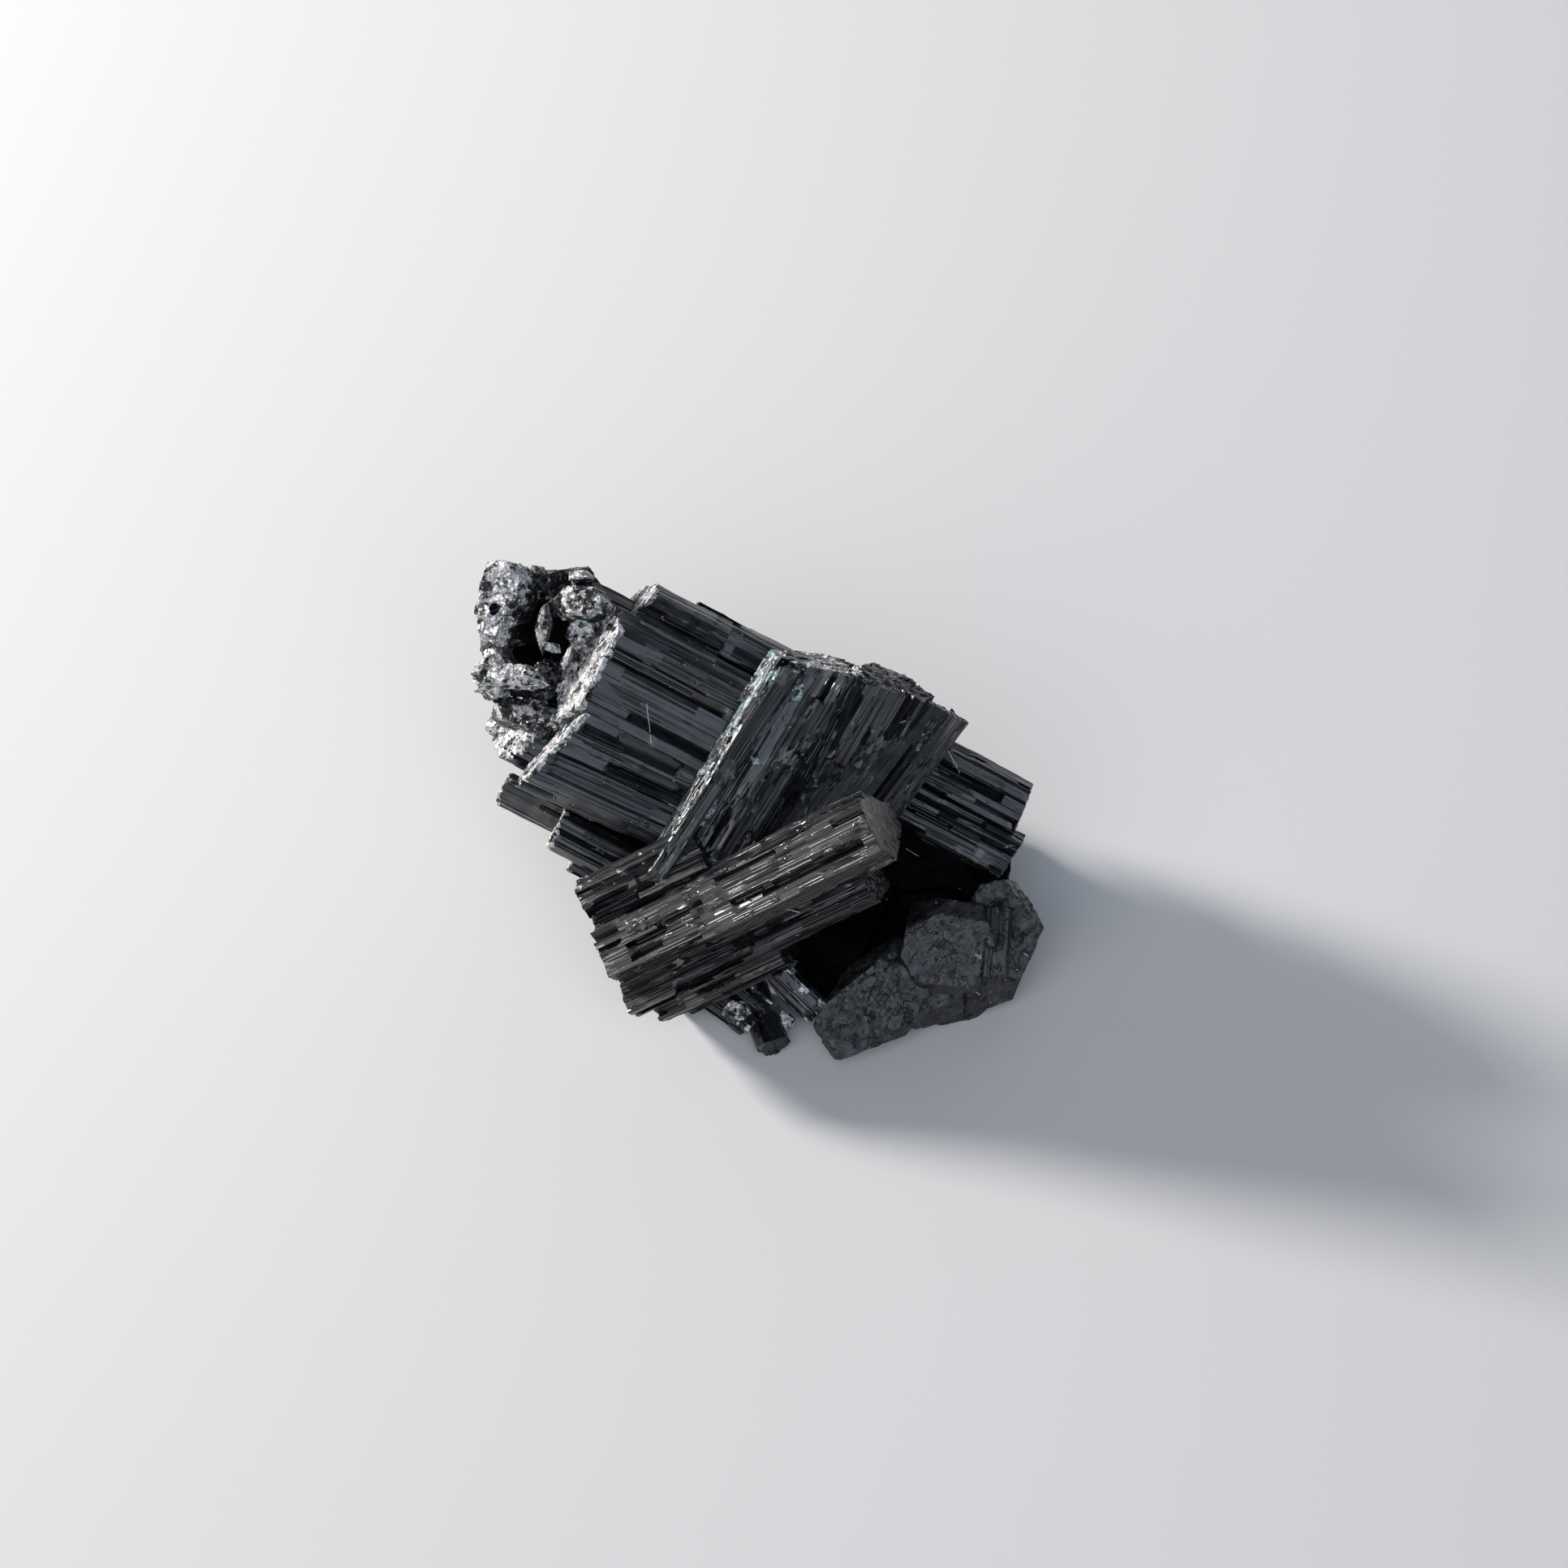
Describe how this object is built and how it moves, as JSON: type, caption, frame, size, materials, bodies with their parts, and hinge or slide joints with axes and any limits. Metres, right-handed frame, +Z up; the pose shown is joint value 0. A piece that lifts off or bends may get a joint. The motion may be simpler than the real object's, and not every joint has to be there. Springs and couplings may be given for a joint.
{
  "type": "black tourmaline specimen",
  "caption": "Cluster of intergrown black tourmaline prisms with ribbed faces, a crumbly glittering end and a flat rest under its base crystals.",
  "frame": {"origin": "on the table, near the middle of the resting face, below the cluster's display face", "axes": "+Z up, +X to the right along the display face, +Y away from the viewer; the display face leans back towards +Y"},
  "size_m": [0.0578, 0.0472, 0.0335],
  "materials": {
    "schorl": "glossy, with striated faces and glittering broken ends"
  },
  "bodies": {
    "root": {"black_tourmaline": "schorl"}
  },
  "joints": []
}
